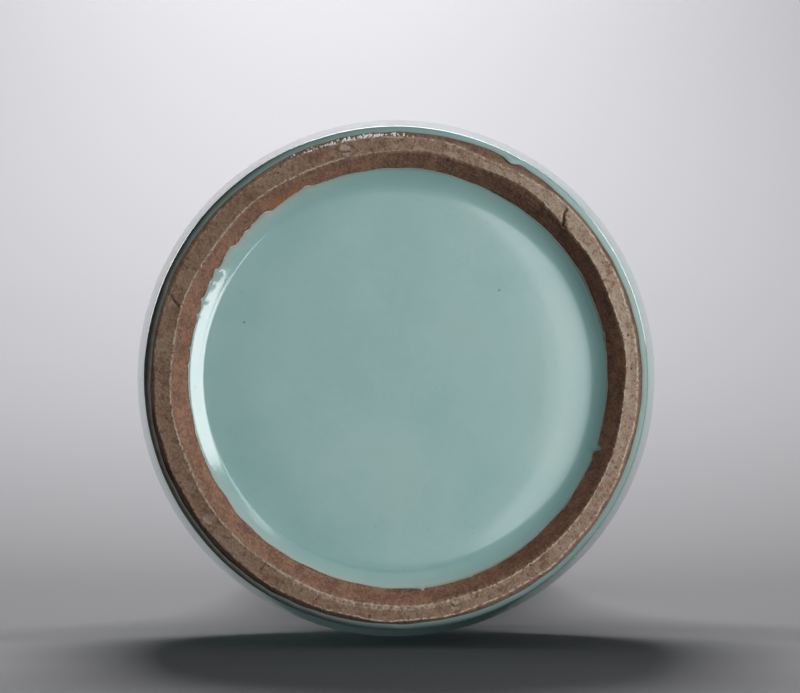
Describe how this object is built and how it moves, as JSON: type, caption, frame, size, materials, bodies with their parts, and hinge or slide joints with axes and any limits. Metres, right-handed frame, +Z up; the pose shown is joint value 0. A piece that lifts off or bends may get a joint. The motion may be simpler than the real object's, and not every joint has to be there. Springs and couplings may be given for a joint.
{
  "type": "vase",
  "caption": "Upright stoneware flower vase under celadon glaze: broad bare foot ring round a glazed recess, gently swelling body, full shoulder, short flared neck.",
  "frame": {"origin": "centre of the standing face of the foot ring, on the vase's axis", "axes": "+Z up along the vase's axis, towards the mouth; the vase is round, so +X and +Y are any two sides"},
  "size_m": [0.1888, 0.1888, 0.3],
  "materials": {
    "stoneware": "bare fired stoneware, brown, fine gritty grain, matt",
    "luting_slip": "fired slip, matt",
    "celadon_glaze": "thick grey-green celadon glaze, glossy, slightly clouded"
  },
  "bodies": {
    "root": {"foot_ring": "stoneware", "foot_slip": "luting_slip", "lower_body": "stoneware", "belly_slip": "luting_slip", "upper_body": "stoneware", "neck_slip": "luting_slip", "neck": "stoneware", "outer_glaze": "celadon_glaze", "inner_glaze": "celadon_glaze", "base_glaze": "celadon_glaze"}
  },
  "joints": []
}
